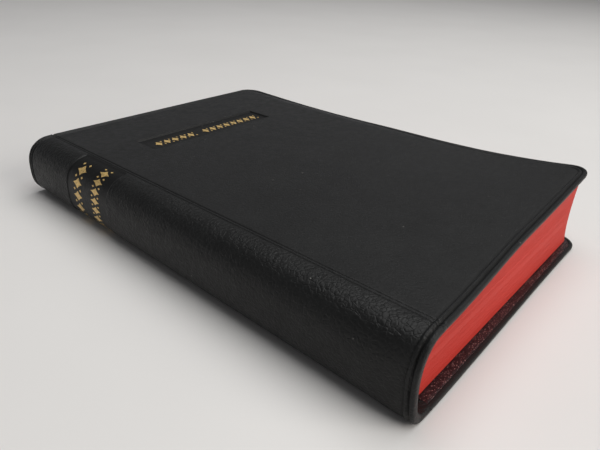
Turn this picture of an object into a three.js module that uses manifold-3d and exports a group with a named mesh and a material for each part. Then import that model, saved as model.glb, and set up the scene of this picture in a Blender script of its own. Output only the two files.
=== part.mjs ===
// A limp-bound, red-edged prayer book, lying closed on its back cover.
// Millimetres. +X runs from the spine to the fore edge, +Y from tail to head, +Z up.
// The origin is the centre of the closed book's underside.

import * as THREE from 'three';
import { mergeVertices } from 'three/addons/utils/BufferGeometryUtils.js';
import Module from 'manifold-3d';

const wasm = await Module();
wasm.setup();

// Closed book
const BOOK_LENGTH = 190;
const BOOK_WIDTH = 131;
const BOOK_THICKNESS = 27;
const FORE_EDGE_X = BOOK_WIDTH / 2;
const MID_Z = BOOK_THICKNESS / 2;

// Covers
const SKIN_FACE = 0.8;
const SKIN_RIM_HEIGHT = 1.65;
const RIM_WIDTH = 1.4;
const BOARD_INSET = 4;
const BOARD_THICKNESS = 0.45;
const LINING_THICKNESS = 0.25;
const PASTEDOWN_THICKNESS = 0.15;
const PASTEDOWN_INSET = 7;
const LAYER_GAP = 0.05;
const CORNER_RADIUS = 8;
const SMALL_RADIUS = 1;

// Joint grooves between the spine and the covers
const JOINT_INSET = 11.5;
const JOINT_X = -FORE_EDGE_X + JOINT_INSET;
const JOINT_GAP = 0.3;

// Spine
const SPINE_WALL = 1.3;
const SPINE_RIM_WALL = 3.0;
const SPINE_RIM_LENGTH = 3.5;
const SPINE_ROUNDNESS = 2.6;
const SPINE_ARC_STEPS = 14;
const MIDDLE_GAP = 0.3;

// Book block
const HEAD_SQUARE = 3.7;
const BLOCK_LENGTH = BOOK_LENGTH - 2 * HEAD_SQUARE;
const LEAF_WIDTH = 118.2;
const BLOCK_BOTTOM = 2.0;
const BLOCK_HALF_HEIGHT = MID_Z - BLOCK_BOTTOM;
const BLOCK_FORE_X = 59.6;
const BLOCK_ROUNDING = 3.2;
const FLYLEAF_THICKNESS = 0.2;
const SECTIONS_PER_HALF = 12;
const SECTION_GAP = 0.02;
const FOLD_STEPS = 6;
const LEAF_THICKNESS = 0.2;
const LEAF_GAP = 0.05;

// Sewing and spine lining
const THREAD_RADIUS = 0.25;
const THREAD_OFFSET = 0.35;
const THREAD_SIDES = 6;
const THREAD_STEPS = 8;
const SEWING_STATIONS = 5;
const STATION_PITCH = 34;
const MULL_OFFSET = 0.75;
const MULL_THICKNESS = 0.3;
const LINER_OFFSET = 1.2;
const LINER_THICKNESS = 0.4;
const STRIP_END_HEIGHT = 9.7;
const STRIP_LENGTH = 168;
const STRIP_STEPS = 10;

const cover_vinyl = new THREE.MeshStandardMaterial({ color: 0x17171a, roughness: 0.5 });
const lining_vinyl = new THREE.MeshStandardMaterial({ color: 0x1c0d10, roughness: 0.25 });
const board_card = new THREE.MeshStandardMaterial({ color: 0x9c8f78, roughness: 0.9 });
const end_paper = new THREE.MeshStandardMaterial({ color: 0xe9e1cd, roughness: 0.9 });
const edged_paper = new THREE.MeshStandardMaterial({ color: 0xd8382c, roughness: 0.7 });
const mull_cloth = new THREE.MeshStandardMaterial({ color: 0xd9d2bf, roughness: 1.0 });
const liner_paper = new THREE.MeshStandardMaterial({ color: 0xa78658, roughness: 0.9 });
const linen_thread = new THREE.MeshStandardMaterial({ color: 0xe6dfcc, roughness: 0.8 });

const group = new THREE.Group();

function addMesh(name, geometry, material) {
  const mesh = new THREE.Mesh(geometry, material);
  mesh.name = name;
  group.add(mesh);
}

function toSolid(geometry) {
  const bare = geometry.clone();
  bare.deleteAttribute('normal');
  bare.deleteAttribute('uv');
  const merged = mergeVertices(bare, 1e-4);
  return new wasm.Manifold(new wasm.Mesh({
    numProp: 3,
    vertProperties: new Float32Array(merged.attributes.position.array),
    triVerts: new Uint32Array(merged.index.array),
  }));
}

function toGeometry(solid) {
  const mesh = solid.getMesh();
  const geometry = new THREE.BufferGeometry();
  geometry.setAttribute('position', new THREE.BufferAttribute(mesh.vertProperties, 3));
  geometry.setIndex(new THREE.BufferAttribute(mesh.triVerts, 1));
  return geometry;
}

// The lower half of the book is the drawn one; the upper half mirrors its heights about MID_Z.
// side is -1 for the back (lower) half and +1 for the front (upper) half.
function heightAt(side, distanceFromMiddle) {
  return MID_Z + side * distanceFromMiddle;
}

// A profile in the XZ plane, run along Y and centred on the origin.
function runAlongY(points, length) {
  const shape = new THREE.Shape(points);
  const geometry = new THREE.ExtrudeGeometry(shape, { depth: length, bevelEnabled: false });
  geometry.rotateX(Math.PI / 2);
  geometry.translate(0, length / 2, 0);
  return geometry;
}

// How far a layer of the rounded block has slid towards the spine.
function rounding(distanceFromMiddle) {
  const ratio = distanceFromMiddle / BLOCK_HALF_HEIGHT;
  return BLOCK_ROUNDING * (1 - ratio * ratio);
}

function blockForeX(distanceFromMiddle) {
  return BLOCK_FORE_X - rounding(distanceFromMiddle);
}

function blockBackX(distanceFromMiddle) {
  return blockForeX(distanceFromMiddle) - LEAF_WIDTH;
}

// A folded section: a half-round fold at the back, a trimmed edge that follows the hollow fore edge.
function foldedSection(side, near, far) {
  const middle = (near + far) / 2;
  const radius = (far - near) / 2;
  const foldX = blockBackX(middle) + radius;
  const points = [
    new THREE.Vector2(blockForeX(near), heightAt(side, near)),
    new THREE.Vector2(blockForeX(far), heightAt(side, far)),
  ];
  for (let step = 0; step <= FOLD_STEPS; step += 1) {
    const angle = Math.PI * (0.5 - step / FOLD_STEPS);
    const x = foldX - radius * Math.cos(angle);
    const distance = middle + radius * Math.sin(angle);
    points.push(new THREE.Vector2(x, heightAt(side, distance)));
  }
  return runAlongY(points, BLOCK_LENGTH);
}

// A single flat leaf, cut square all round.
function flatLeaf(side, near, thickness) {
  const middle = near + thickness / 2;
  const geometry = new THREE.BoxGeometry(LEAF_WIDTH, BLOCK_LENGTH, thickness);
  geometry.translate(blockForeX(middle) - LEAF_WIDTH / 2, 0, heightAt(side, middle));
  return geometry;
}

// A thin strip that hugs the block's back at a given distance behind the folds.
function backStrip(side, offset, thickness, length) {
  const start = MIDDLE_GAP / 2;
  const front = [];
  const back = [];
  for (let step = 0; step <= STRIP_STEPS; step += 1) {
    const distance = start + (STRIP_END_HEIGHT - start) * (step / STRIP_STEPS);
    const x = blockBackX(distance) - offset;
    front.push(new THREE.Vector2(x, heightAt(side, distance)));
    back.unshift(new THREE.Vector2(x - thickness, heightAt(side, distance)));
  }
  return runAlongY([...front, ...back], length);
}

// The linking stitches of one sewing station, running up the folds of one half of the block.
function threadRun(side, stationY) {
  const start = MIDDLE_GAP / 2;
  const path = [];
  for (let step = 0; step <= THREAD_STEPS; step += 1) {
    const distance = start + (STRIP_END_HEIGHT - start) * (step / THREAD_STEPS);
    const x = blockBackX(distance) - THREAD_OFFSET;
    path.push(new THREE.Vector3(x, stationY, heightAt(side, distance)));
  }
  const section = new THREE.Shape();
  section.absarc(0, 0, THREAD_RADIUS, 0, 2 * Math.PI);
  const settings = { steps: THREAD_STEPS, curveSegments: THREAD_SIDES, bevelEnabled: false };
  settings.extrudePath = new THREE.CatmullRomCurve3(path);
  return new THREE.ExtrudeGeometry(section, settings);
}

// Points on the spine's rounded section, sunk by inset below its outer face.
function spineArc(side, inset) {
  const reach = JOINT_INSET - JOINT_GAP / 2 - inset;
  const rise = MID_Z - inset;
  const centreX = JOINT_X - JOINT_GAP / 2;
  const power = 2 / SPINE_ROUNDNESS;
  const firstAngle = Math.asin((MIDDLE_GAP / 2 / rise) ** (1 / power));
  const points = [];
  for (let step = 0; step <= SPINE_ARC_STEPS; step += 1) {
    const angle = firstAngle + (Math.PI / 2 - firstAngle) * (step / SPINE_ARC_STEPS);
    const across = Math.max(Math.cos(angle), 0) ** power;
    const up = Math.sin(angle) ** power;
    points.push(new THREE.Vector2(centreX - reach * across, heightAt(side, rise * up)));
  }
  return points;
}

function spineShell(side, outerInset, innerInset, length) {
  const outer = spineArc(side, outerInset);
  const inner = spineArc(side, innerInset).reverse();
  return runAlongY([...outer, ...inner], length);
}

// Half of the spine's vinyl, thickened at head and tail where it turns in.
function spineSkin(side) {
  const thick = toSolid(spineShell(side, 0, SPINE_RIM_WALL, BOOK_LENGTH));
  const hollowLength = BOOK_LENGTH - 2 * SPINE_RIM_LENGTH;
  const hollow = spineShell(side, SPINE_WALL, SPINE_RIM_WALL + LAYER_GAP, hollowLength);
  return toGeometry(thick.subtract(toSolid(hollow)));
}

// The outline of a cover, inset from its edges, with rounded corners at the fore edge.
function coverOutline(inset) {
  const radius = Math.max(CORNER_RADIUS - inset, SMALL_RADIUS);
  const left = JOINT_X + JOINT_GAP / 2 + inset;
  const right = FORE_EDGE_X - inset;
  const half = BOOK_LENGTH / 2 - inset;
  const shape = new THREE.Shape();
  shape.moveTo(left, -half);
  shape.lineTo(right - radius, -half);
  shape.absarc(right - radius, -half + radius, radius, -Math.PI / 2, 0);
  shape.lineTo(right, half - radius);
  shape.absarc(right - radius, half - radius, radius, 0, Math.PI / 2);
  shape.lineTo(left, half);
  shape.closePath();
  return shape;
}

// A plate between two depths, measured inwards from the cover's outer face.
function coverPlate(side, outline, outerDepth, innerDepth) {
  const settings = { depth: innerDepth - outerDepth, bevelEnabled: false, curveSegments: 8 };
  const geometry = new THREE.ExtrudeGeometry(outline, settings);
  const bottom = side < 0 ? outerDepth : BOOK_THICKNESS - innerDepth;
  geometry.translate(0, 0, bottom);
  return geometry;
}

// The vinyl of a cover: a face, and a turned-in rim that steps down to pockets for lining and board.
function coverSkin(side) {
  const whole = toSolid(coverPlate(side, coverOutline(0), 0, SKIN_RIM_HEIGHT));
  const openTop = SKIN_RIM_HEIGHT + 1;
  const ledge = SKIN_FACE + LAYER_GAP + BOARD_THICKNESS;
  const liningPocket = toSolid(coverPlate(side, coverOutline(RIM_WIDTH), ledge, openTop));
  const boardPocket = toSolid(coverPlate(side, coverOutline(BOARD_INSET), SKIN_FACE, openTop));
  return toGeometry(whole.subtract(liningPocket).subtract(boardPocket));
}

function addCover(label, side) {
  const boardStart = SKIN_FACE + LAYER_GAP;
  const boardEnd = boardStart + BOARD_THICKNESS;
  const liningStart = boardEnd + LAYER_GAP;
  const liningEnd = liningStart + LINING_THICKNESS;
  const paperStart = SKIN_RIM_HEIGHT + LAYER_GAP;
  const paperEnd = paperStart + PASTEDOWN_THICKNESS;
  const boardShape = coverOutline(BOARD_INSET + 2 * LAYER_GAP);
  const liningShape = coverOutline(RIM_WIDTH + 2 * LAYER_GAP);
  const paperShape = coverOutline(PASTEDOWN_INSET);
  addMesh(`${label}_cover_skin`, coverSkin(side), cover_vinyl);
  addMesh(`${label}_cover_board`, coverPlate(side, boardShape, boardStart, boardEnd), board_card);
  addMesh(`${label}_cover_lining`, coverPlate(side, liningShape, liningStart, liningEnd), lining_vinyl);
  addMesh(`${label}_pastedown`, coverPlate(side, paperShape, paperStart, paperEnd), end_paper);
}

function addBlockHalf(label, side) {
  const leafStart = LEAF_GAP;
  const sectionsStart = leafStart + LEAF_THICKNESS + LEAF_GAP;
  const sectionsEnd = BLOCK_HALF_HEIGHT - FLYLEAF_THICKNESS - LAYER_GAP;
  const pitch = (sectionsEnd - sectionsStart) / SECTIONS_PER_HALF;
  for (let index = 0; index < SECTIONS_PER_HALF; index += 1) {
    const near = sectionsStart + index * pitch;
    const section = foldedSection(side, near, near + pitch - SECTION_GAP);
    const fromBack = side < 0 ? SECTIONS_PER_HALF - index : SECTIONS_PER_HALF + 1 + index;
    addMesh(`section_${String(fromBack).padStart(2, '0')}`, section, edged_paper);
  }
  const flyleafStart = BLOCK_HALF_HEIGHT - FLYLEAF_THICKNESS;
  addMesh(`${label}_flyleaf`, flatLeaf(side, flyleafStart, FLYLEAF_THICKNESS), end_paper);
  addMesh(`${label}_centre_leaf`, flatLeaf(side, leafStart, LEAF_THICKNESS), edged_paper);
}

function addSpineHalf(label, side) {
  addMesh(`spine_skin_${label}_half`, spineSkin(side), cover_vinyl);
  const liner = backStrip(side, LINER_OFFSET, LINER_THICKNESS, STRIP_LENGTH);
  addMesh(`spine_liner_${label}_half`, liner, liner_paper);
  const mull = backStrip(side, MULL_OFFSET, MULL_THICKNESS, STRIP_LENGTH);
  addMesh(`spine_mull_${label}_half`, mull, mull_cloth);
  for (let station = 0; station < SEWING_STATIONS; station += 1) {
    const stationY = (station - (SEWING_STATIONS - 1) / 2) * STATION_PITCH;
    addMesh(`sewing_thread_${label}_${station + 1}`, threadRun(side, stationY), linen_thread);
  }
}

for (const [label, side] of [['back', -1], ['front', 1]]) {
  addCover(label, side);
  addBlockHalf(label, side);
  addSpineHalf(label, side);
}

export default group;
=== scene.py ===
"""Covers, spine, page edges and gilt work of a limp-bound prayer book."""

import math

import bmesh
import bpy
from mathutils import Matrix, Vector, noise


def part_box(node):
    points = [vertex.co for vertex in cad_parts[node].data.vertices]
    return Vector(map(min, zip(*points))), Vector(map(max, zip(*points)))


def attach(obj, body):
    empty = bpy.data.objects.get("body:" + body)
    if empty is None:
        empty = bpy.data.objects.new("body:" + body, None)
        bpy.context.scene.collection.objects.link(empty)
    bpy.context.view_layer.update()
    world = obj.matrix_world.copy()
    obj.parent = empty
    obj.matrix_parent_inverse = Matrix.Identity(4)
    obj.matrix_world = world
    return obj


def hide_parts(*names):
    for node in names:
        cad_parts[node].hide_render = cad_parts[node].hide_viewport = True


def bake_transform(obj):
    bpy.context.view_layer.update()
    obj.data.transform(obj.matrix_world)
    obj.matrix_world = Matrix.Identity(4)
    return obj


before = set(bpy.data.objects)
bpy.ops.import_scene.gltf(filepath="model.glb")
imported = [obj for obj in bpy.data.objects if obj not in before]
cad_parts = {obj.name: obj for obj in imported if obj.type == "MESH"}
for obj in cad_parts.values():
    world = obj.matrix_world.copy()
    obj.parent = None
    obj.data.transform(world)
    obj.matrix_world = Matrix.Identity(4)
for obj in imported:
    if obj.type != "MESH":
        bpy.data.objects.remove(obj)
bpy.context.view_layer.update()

bl_info = {
    "name": "Limp-bound book",
    "version": (1, 0, 0),
    "blender": (4, 5, 0),
    "location": "3D View > Sidebar > Book",
    "description": "Covers, spine, page edges and gilt work of a limp-bound prayer book",
    "category": "Add Mesh",
}

MM = 0.001
FRONT = 1
BACK = -1
SIDES = ((FRONT, "front"), (BACK, "back"))

# The frame's own places, in metres.
COVER_LOW, COVER_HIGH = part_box("front_cover_skin")
SPINE_LOW, SPINE_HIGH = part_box("spine_skin_front_half")
BLOCK_LOW, BLOCK_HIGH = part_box("back_flyleaf")
BOOK_TOP = COVER_HIGH.z
MIDDLE_Z = BOOK_TOP / 2
HALF_LENGTH = COVER_HIGH.y
FORE_X = COVER_HIGH.x
JOINT_X = (COVER_LOW.x + SPINE_HIGH.x) / 2
BLOCK_HALF_LENGTH = BLOCK_HIGH.y
BLOCK_HALF_HEIGHT = MIDDLE_Z - BLOCK_LOW.z
LEAF_WIDTH = BLOCK_HIGH.x - BLOCK_LOW.x
BLOCK_FORE_X = BLOCK_HIGH.x
BLOCK_ROUNDING = BLOCK_LOW.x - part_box("back_centre_leaf")[0].x
CORNER_RADIUS = 8 * MM
CORNER_STEPS = 5
SPINE_ROUNDNESS = 2.6

# How the closed book has settled; a pair is its value at the joint and at the fore edge.
HEAD_DIP = (3.0 * MM, 1.2 * MM)
TAIL_DIP = (0.5 * MM, 0.1 * MM)
TAIL_START = -80 * MM
SPINE_TAIL_PINCH = 1.2 * MM
LOWER_TAIL_SHIFT = 0.8 * MM
COVER_TAIL_PULL = 2.4 * MM
COVER_SAG = 1.5 * MM
LEAVES_DRAWN_BACK = 4.5 * MM

# The vinyl's folded edge: (distance in from the edge, depth below the face).
FACE_EDGE = (
    (0.0, 0.85), (0.05, 0.5), (0.2, 0.2), (0.45, 0.02), (0.8, -0.06), (1.15, -0.02), (1.4, 0.15),
    (1.6, 0.42), (1.75, 0.5), (1.9, 0.42), (2.1, 0.1), (2.35, -0.1), (2.65, -0.12), (2.9, 0.0),
    (3.1, 0.22), (3.25, 0.28), (3.45, 0.2), (3.8, 0.04), (4.3, 0.0),
)
COVER_RIM = (
    (0.0, 1.15), (0.08, 1.45), (0.25, 1.6), (0.5, 1.65), (1.3, 1.65), (1.38, 1.33), (3.9, 1.33), (4.0, 0.8),
)
SPINE_RIM = ((0.0, 1.2), (0.05, 1.7), (0.2, 2.1), (0.5, 2.4), (0.9, 2.5), (3.2, 2.5), (3.4, 2.1), (3.5, 1.3))
LINING_EDGE = ((2.4, 1.36), (1.55, 1.37), (1.48, 1.43), (1.5, 1.53), (1.8, 1.59), (2.4, 1.61))
BOARD_EDGE = ((4.3, 0.85), (4.1, 0.89), (4.1, 1.27), (4.3, 1.31))
PAPER_EDGE = ((7.1, 1.71), (7.0, 1.73), (7.0, 1.81), (7.1, 1.83))


class BookSizes(bpy.types.PropertyGroup):
    """Sizes of the cover's pressed work and of the pages."""

    corner_lift: bpy.props.FloatProperty(
        name="Corner lift", description="How far the front cover's tail corner curls up",
        default=5.3 * MM, unit="LENGTH")
    panel_length: bpy.props.FloatProperty(
        name="Panel length", description="Length of the pressed title panel",
        default=66 * MM, unit="LENGTH")
    panel_height: bpy.props.FloatProperty(
        name="Panel height", description="Height of the pressed title panel",
        default=13.5 * MM, unit="LENGTH")
    panel_centre: bpy.props.FloatProperty(
        name="Panel centre", description="Distance of the title panel from the book's middle",
        default=55.2 * MM, unit="LENGTH")
    panel_depth: bpy.props.FloatProperty(
        name="Panel depth", description="How deep the panels are pressed",
        default=0.55 * MM, unit="LENGTH")
    spine_panel_head: bpy.props.FloatProperty(
        name="Spine panel head", description="Head end of the pressed panel on the spine",
        default=62 * MM, unit="LENGTH")
    spine_panel_tail: bpy.props.FloatProperty(
        name="Spine panel tail", description="Tail end of the pressed panel on the spine",
        default=34 * MM, unit="LENGTH")
    grain_height: bpy.props.FloatProperty(
        name="Grain height", description="Height of the creased grain on the spine",
        default=0.09 * MM, unit="LENGTH")
    leaves_per_section: bpy.props.IntProperty(
        name="Leaves in a section", description="Leaf bundles drawn in each folded section",
        default=9, min=1)


class BookColours(bpy.types.PropertyGroup):
    """Colours of the book's materials."""

    vinyl: bpy.props.FloatVectorProperty(
        name="Vinyl", description="Black of the grained cover", subtype="COLOR", size=4,
        default=(0.0095, 0.0098, 0.0097, 1))
    lining: bpy.props.FloatVectorProperty(
        name="Lining", description="Glossy inside of the covers", subtype="COLOR", size=4,
        default=(0.022, 0.007, 0.009, 1))
    edge_red: bpy.props.FloatVectorProperty(
        name="Edge stain", description="Red stain on the page edges", subtype="COLOR", size=4,
        default=(0.56, 0.040, 0.027, 1))
    paper: bpy.props.FloatVectorProperty(
        name="Paper", description="Page paper", subtype="COLOR", size=4,
        default=(0.84, 0.79, 0.67, 1))
    gilt: bpy.props.FloatVectorProperty(
        name="Gilt", description="Foil blocking", subtype="COLOR", size=4,
        default=(0.82, 0.57, 0.22, 1))


def sizes():
    return bpy.context.scene.book_sizes


def colours():
    return bpy.context.scene.book_colours


# ---------------------------------------------------------------- small shape helpers


def smooth_step(low, high, value):
    t = min(max((value - low) / (high - low), 0), 1)
    return t * t * (3 - 2 * t)


def bell(distance, width):
    return math.exp(-(distance / width) ** 2)


def depth_at(profile, inset):
    """Depth of an edge profile at a distance in from the edge, both in metres."""
    place = inset / MM
    for (near, near_depth), (far, far_depth) in zip(profile, profile[1:]):
        if place <= far:
            share = (place - near) / (far - near)
            return (near_depth + share * (far_depth - near_depth)) * MM
    return profile[-1][1] * MM


def stations(start, end, step, fine_places=(), fine_step=0.2 * MM, fine_reach=1.0 * MM):
    """Places from start to end, closer together about each fine place."""
    count = max(1, round((end - start) / step))
    coarse = [start + (end - start) * k / count for k in range(count + 1)]
    places = [p for p in coarse if all(abs(p - f) > fine_reach + step / 3 for f in fine_places)]
    half = round(fine_reach / fine_step)
    for fine in fine_places:
        places += [fine + k * fine_step for k in range(-half, half + 1)]
    inside = [p for p in places if start + fine_step / 2 < p < end - fine_step / 2]
    return [start] + sorted(inside) + [end]


def uneven(x, y, z, size, amount):
    return noise.noise(Vector((x, y, z)) / size) * amount


def make_mesh_object(name, points, faces, material):
    mesh = bpy.data.meshes.new(name)
    mesh.from_pydata([tuple(p) for p in points], [], faces)
    mesh.validate()
    obj = bpy.data.objects.new(name, mesh)
    bpy.context.scene.collection.objects.link(obj)
    mesh.materials.append(material)
    return obj


def finish_mesh(obj, smooth_angle=math.radians(40)):
    """Faces outwards, smooth shading up to an angle, and each point's resting place kept as at_rest."""
    mesh = obj.data
    shape = bmesh.new()
    shape.from_mesh(mesh)
    bmesh.ops.recalc_face_normals(shape, faces=shape.faces)
    shape.to_mesh(mesh)
    shape.free()
    mesh.shade_smooth()
    mesh.set_sharp_from_angle(angle=smooth_angle)
    keep_rest(obj)
    return obj


def keep_rest(obj):
    mesh = obj.data
    kept = mesh.attributes.new("at_rest", "FLOAT_VECTOR", "POINT")
    values = [0.0] * (3 * len(mesh.vertices))
    mesh.vertices.foreach_get("co", values)
    kept.data.foreach_set("vector", values)


def dip(x, y):
    """How much thinner the book lies at a place: its head end has settled more than its tail."""
    along = (y + HALF_LENGTH) / (2 * HALF_LENGTH)
    across = (x - JOINT_X) / (FORE_X - JOINT_X)
    head, tail = (near + (far - near) * across for near, far in (HEAD_DIP, TAIL_DIP))
    return along * head + (1 - along) * tail


def height_share(z):
    """0 at the block's underside and below, 1 at its top and above."""
    return min(max((z - BLOCK_LOW.z) / (2 * BLOCK_HALF_HEIGHT), 0), 1)


def fan_leaves(obj):
    """The upper leaves rise under the curled corner of the cover and draw back at the fore edge."""
    for v in obj.data.vertices:
        share = height_share(v.co.z)
        v.co.z += 0.97 * share ** 3 * corner_lift(v.co.x, v.co.y)
        tail = smooth_step(0, -HALF_LENGTH, v.co.y)
        v.co.x -= LEAVES_DRAWN_BACK * share ** 1.3 * tail * smooth_step(-30 * MM, 62 * MM, v.co.x)


def hand_over(obj, slot, *nodes):
    """Settle a finished piece with the rest of the book and hide the parts it stands in for; the slot
    argument is not used.
    """
    for v in obj.data.vertices:
        v.co.z -= height_share(v.co.z) * dip(v.co.x, v.co.y)
    if nodes:
        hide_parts(*nodes)


def keep_pressed(obj, values):
    kept = obj.data.attributes.new("pressed", "FLOAT", "POINT")
    kept.data.foreach_set("value", values)


# ---------------------------------------------------------------- materials


def add_node(tree, kind, *wires, **settings):
    """A node with its settings; each wire is an input's name or number, and a node, an output or a value."""
    node = tree.nodes.new(kind)
    for key, value in settings.items():
        setattr(node, key, value)
    for socket, value in wires:
        if isinstance(value, bpy.types.Node):
            value = value.outputs[0]
        if isinstance(value, bpy.types.NodeSocket):
            tree.links.new(value, node.inputs[socket])
        else:
            node.inputs[socket].default_value = value
    return node


def add_ramp(tree, value, stops):
    """The colour between stops of (position, colour)."""
    node = add_node(tree, "ShaderNodeValToRGB", ("Fac", value))
    elements = node.color_ramp.elements
    while len(elements) < len(stops):
        elements.new(0.5)
    for element, (position, colour) in zip(elements, stops):
        element.position = position
        element.color = colour if len(colour) == 4 else (*colour, 1)
    return node.outputs["Color"]


class Finish:
    """A material's node tree, with short calls for the nodes it uses."""

    def __init__(self, name, coordinates="at_rest"):
        self.material = bpy.data.materials.new(name)
        self.material.use_nodes = True
        self.tree = self.material.node_tree
        self.tree.nodes.clear()
        self.shader = self.node("ShaderNodeBsdfPrincipled")
        self.node("ShaderNodeOutputMaterial", ("Surface", self.shader))
        if coordinates == "object":
            self.place = self.node("ShaderNodeTexCoord").outputs["Object"]
        else:
            self.place = self.attribute(coordinates, "Vector")

    def node(self, kind, *wires, **settings):
        return add_node(self.tree, kind, *wires, **settings)

    def attribute(self, name, output="Fac"):
        return self.node("ShaderNodeAttribute", attribute_name=name).outputs[output]

    def set(self, socket, value):
        self.shader.inputs[socket].default_value = value

    def feed(self, socket, output):
        self.tree.links.new(output, self.shader.inputs[socket])

    def stretched(self, scale):
        return self.node("ShaderNodeMapping", ("Scale", scale), ("Vector", self.place)).outputs["Vector"]

    def noise(self, scale, detail=4.0, roughness=0.5, place=None):
        return self.node("ShaderNodeTexNoise", ("Scale", scale), ("Detail", detail), ("Roughness", roughness),
                         ("Vector", place or self.place)).outputs["Fac"]

    def cells(self, scale, feature="F1", smoothness=None):
        wires = [("Scale", scale), ("Vector", self.place)]
        if smoothness is not None:
            wires.append(("Smoothness", smoothness))
        return self.node("ShaderNodeTexVoronoi", *wires, feature=feature).outputs["Distance"]

    def ramp(self, value, stops):
        return add_ramp(self.tree, value, stops)

    def remap(self, value, low, high, new_low, new_high):
        return self.node("ShaderNodeMapRange", ("Value", value), ("From Min", low), ("From Max", high),
                         ("To Min", new_low), ("To Max", new_high)).outputs["Result"]

    def maths(self, operation, first, second=0.5):
        return self.node("ShaderNodeMath", (0, first), (1, second), operation=operation).outputs[0]

    def mix(self, share, first, second):
        """A mix of two colours; inputs 6 and 7 and output 2 are the node's colour ones."""
        return self.node("ShaderNodeMix", (0, share), (6, first), (7, second), data_type="RGBA").outputs[2]

    def parts(self):
        return self.node("ShaderNodeSeparateXYZ", (0, self.place)).outputs

    def bump(self, height, strength, distance, below=None):
        wires = [("Strength", strength), ("Distance", distance), ("Height", height)]
        if below is not None:
            wires.append(("Normal", below))
        return self.node("ShaderNodeBump", *wires).outputs["Normal"]


def tint(colour, factor):
    return tuple(min(c * factor, 1) for c in colour[:3]) + (1,)


def vinyl_finish(name, cell_scale, grain_strength):
    """Satin black vinyl with an embossed leather grain, smoother where it was pressed."""
    finish = Finish(name)
    base = tuple(colours().vinyl)
    pressed = finish.attribute("pressed")
    loose = finish.remap(pressed, 0, 1, 1, 0.25)
    cloudy = finish.noise(90, 3)
    colour = finish.ramp(cloudy, ((0.3, tint(base, 0.9)), (0.7, tint(base, 1.15))))
    colour = finish.mix(finish.maths("MULTIPLY", pressed, 0.5), colour, (0.003, 0.003, 0.003, 1))
    wandering = finish.noise(cell_scale * 0.8, 2)
    pebbles = finish.cells(cell_scale, "SMOOTH_F1", 0.35)
    creases = finish.cells(cell_scale * 0.62, "DISTANCE_TO_EDGE")
    crease_line = finish.remap(creases, 0.0, 0.14, 0, 1)
    height = finish.maths("MULTIPLY", crease_line, 0.55)
    height = finish.maths("ADD", height, finish.maths("MULTIPLY", pebbles, -0.9))
    height = finish.maths("ADD", height, finish.maths("MULTIPLY", wandering, 0.7))
    height = finish.maths("MULTIPLY", height, loose)
    fine = finish.noise(cell_scale * 5, 3, 0.6)
    coarse_normal = finish.bump(height, grain_strength, 0.12 * MM)
    finish.feed("Normal", finish.bump(fine, 0.12, 0.05 * MM, coarse_normal))
    specks = finish.cells(260)
    dust = finish.remap(specks, 0.045, 0.065, 1, 0)
    sparse = finish.remap(finish.noise(75, 1), 0.56, 0.62, 0, 1)
    dusty = finish.maths("MULTIPLY", finish.maths("MULTIPLY", dust, sparse), 0.5)
    finish.feed("Base Color", finish.mix(dusty, colour, (0.35, 0.34, 0.32, 1)))
    rough = finish.remap(finish.noise(420, 3), 0.3, 0.7, 0.38, 0.50)
    finish.feed("Roughness", rough)
    finish.set("Specular IOR Level", 0.21)
    return finish.material


def lining_finish():
    """Glossy, very dark maroon lining with fine bright flecks in its surface."""
    finish = Finish("glossy lining")
    base = tuple(colours().lining)
    colour = finish.ramp(finish.noise(1500, 3), ((0.35, tint(base, 0.3)), (0.7, tint(base, 1.6))))
    flecks = finish.remap(finish.cells(2600), 0.20, 0.34, 1, 0)
    sparse = finish.remap(finish.noise(1500, 2), 0.46, 0.58, 0, 1)
    share = finish.maths("MULTIPLY", finish.maths("MULTIPLY", flecks, sparse), 0.8)
    finish.feed("Base Color", finish.mix(share, colour, (0.62, 0.36, 0.33, 1)))
    finish.feed("Roughness", finish.remap(finish.noise(2500, 2), 0.3, 0.7, 0.25, 0.45))
    finish.feed("Normal", finish.bump(finish.cells(2600, "SMOOTH_F1", 0.5), 0.4, 0.1 * MM))
    finish.set("Specular IOR Level", 0.45)
    return finish.material


def paper_colour(finish):
    paper = tuple(colours().paper)
    fibres = finish.noise(2600, 4, 0.65)
    return finish.ramp(fibres, ((0.3, tint(paper, 0.93)), (0.7, tint(paper, 1.04))))


def pasted_paper_finish():
    """Uncoated cream paper with faint fibres."""
    finish = Finish("pasted paper")
    finish.feed("Base Color", paper_colour(finish))
    finish.feed("Normal", finish.bump(finish.noise(3200, 4, 0.6), 0.2, 0.05 * MM))
    finish.set("Roughness", 0.85)
    return finish.material


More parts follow.
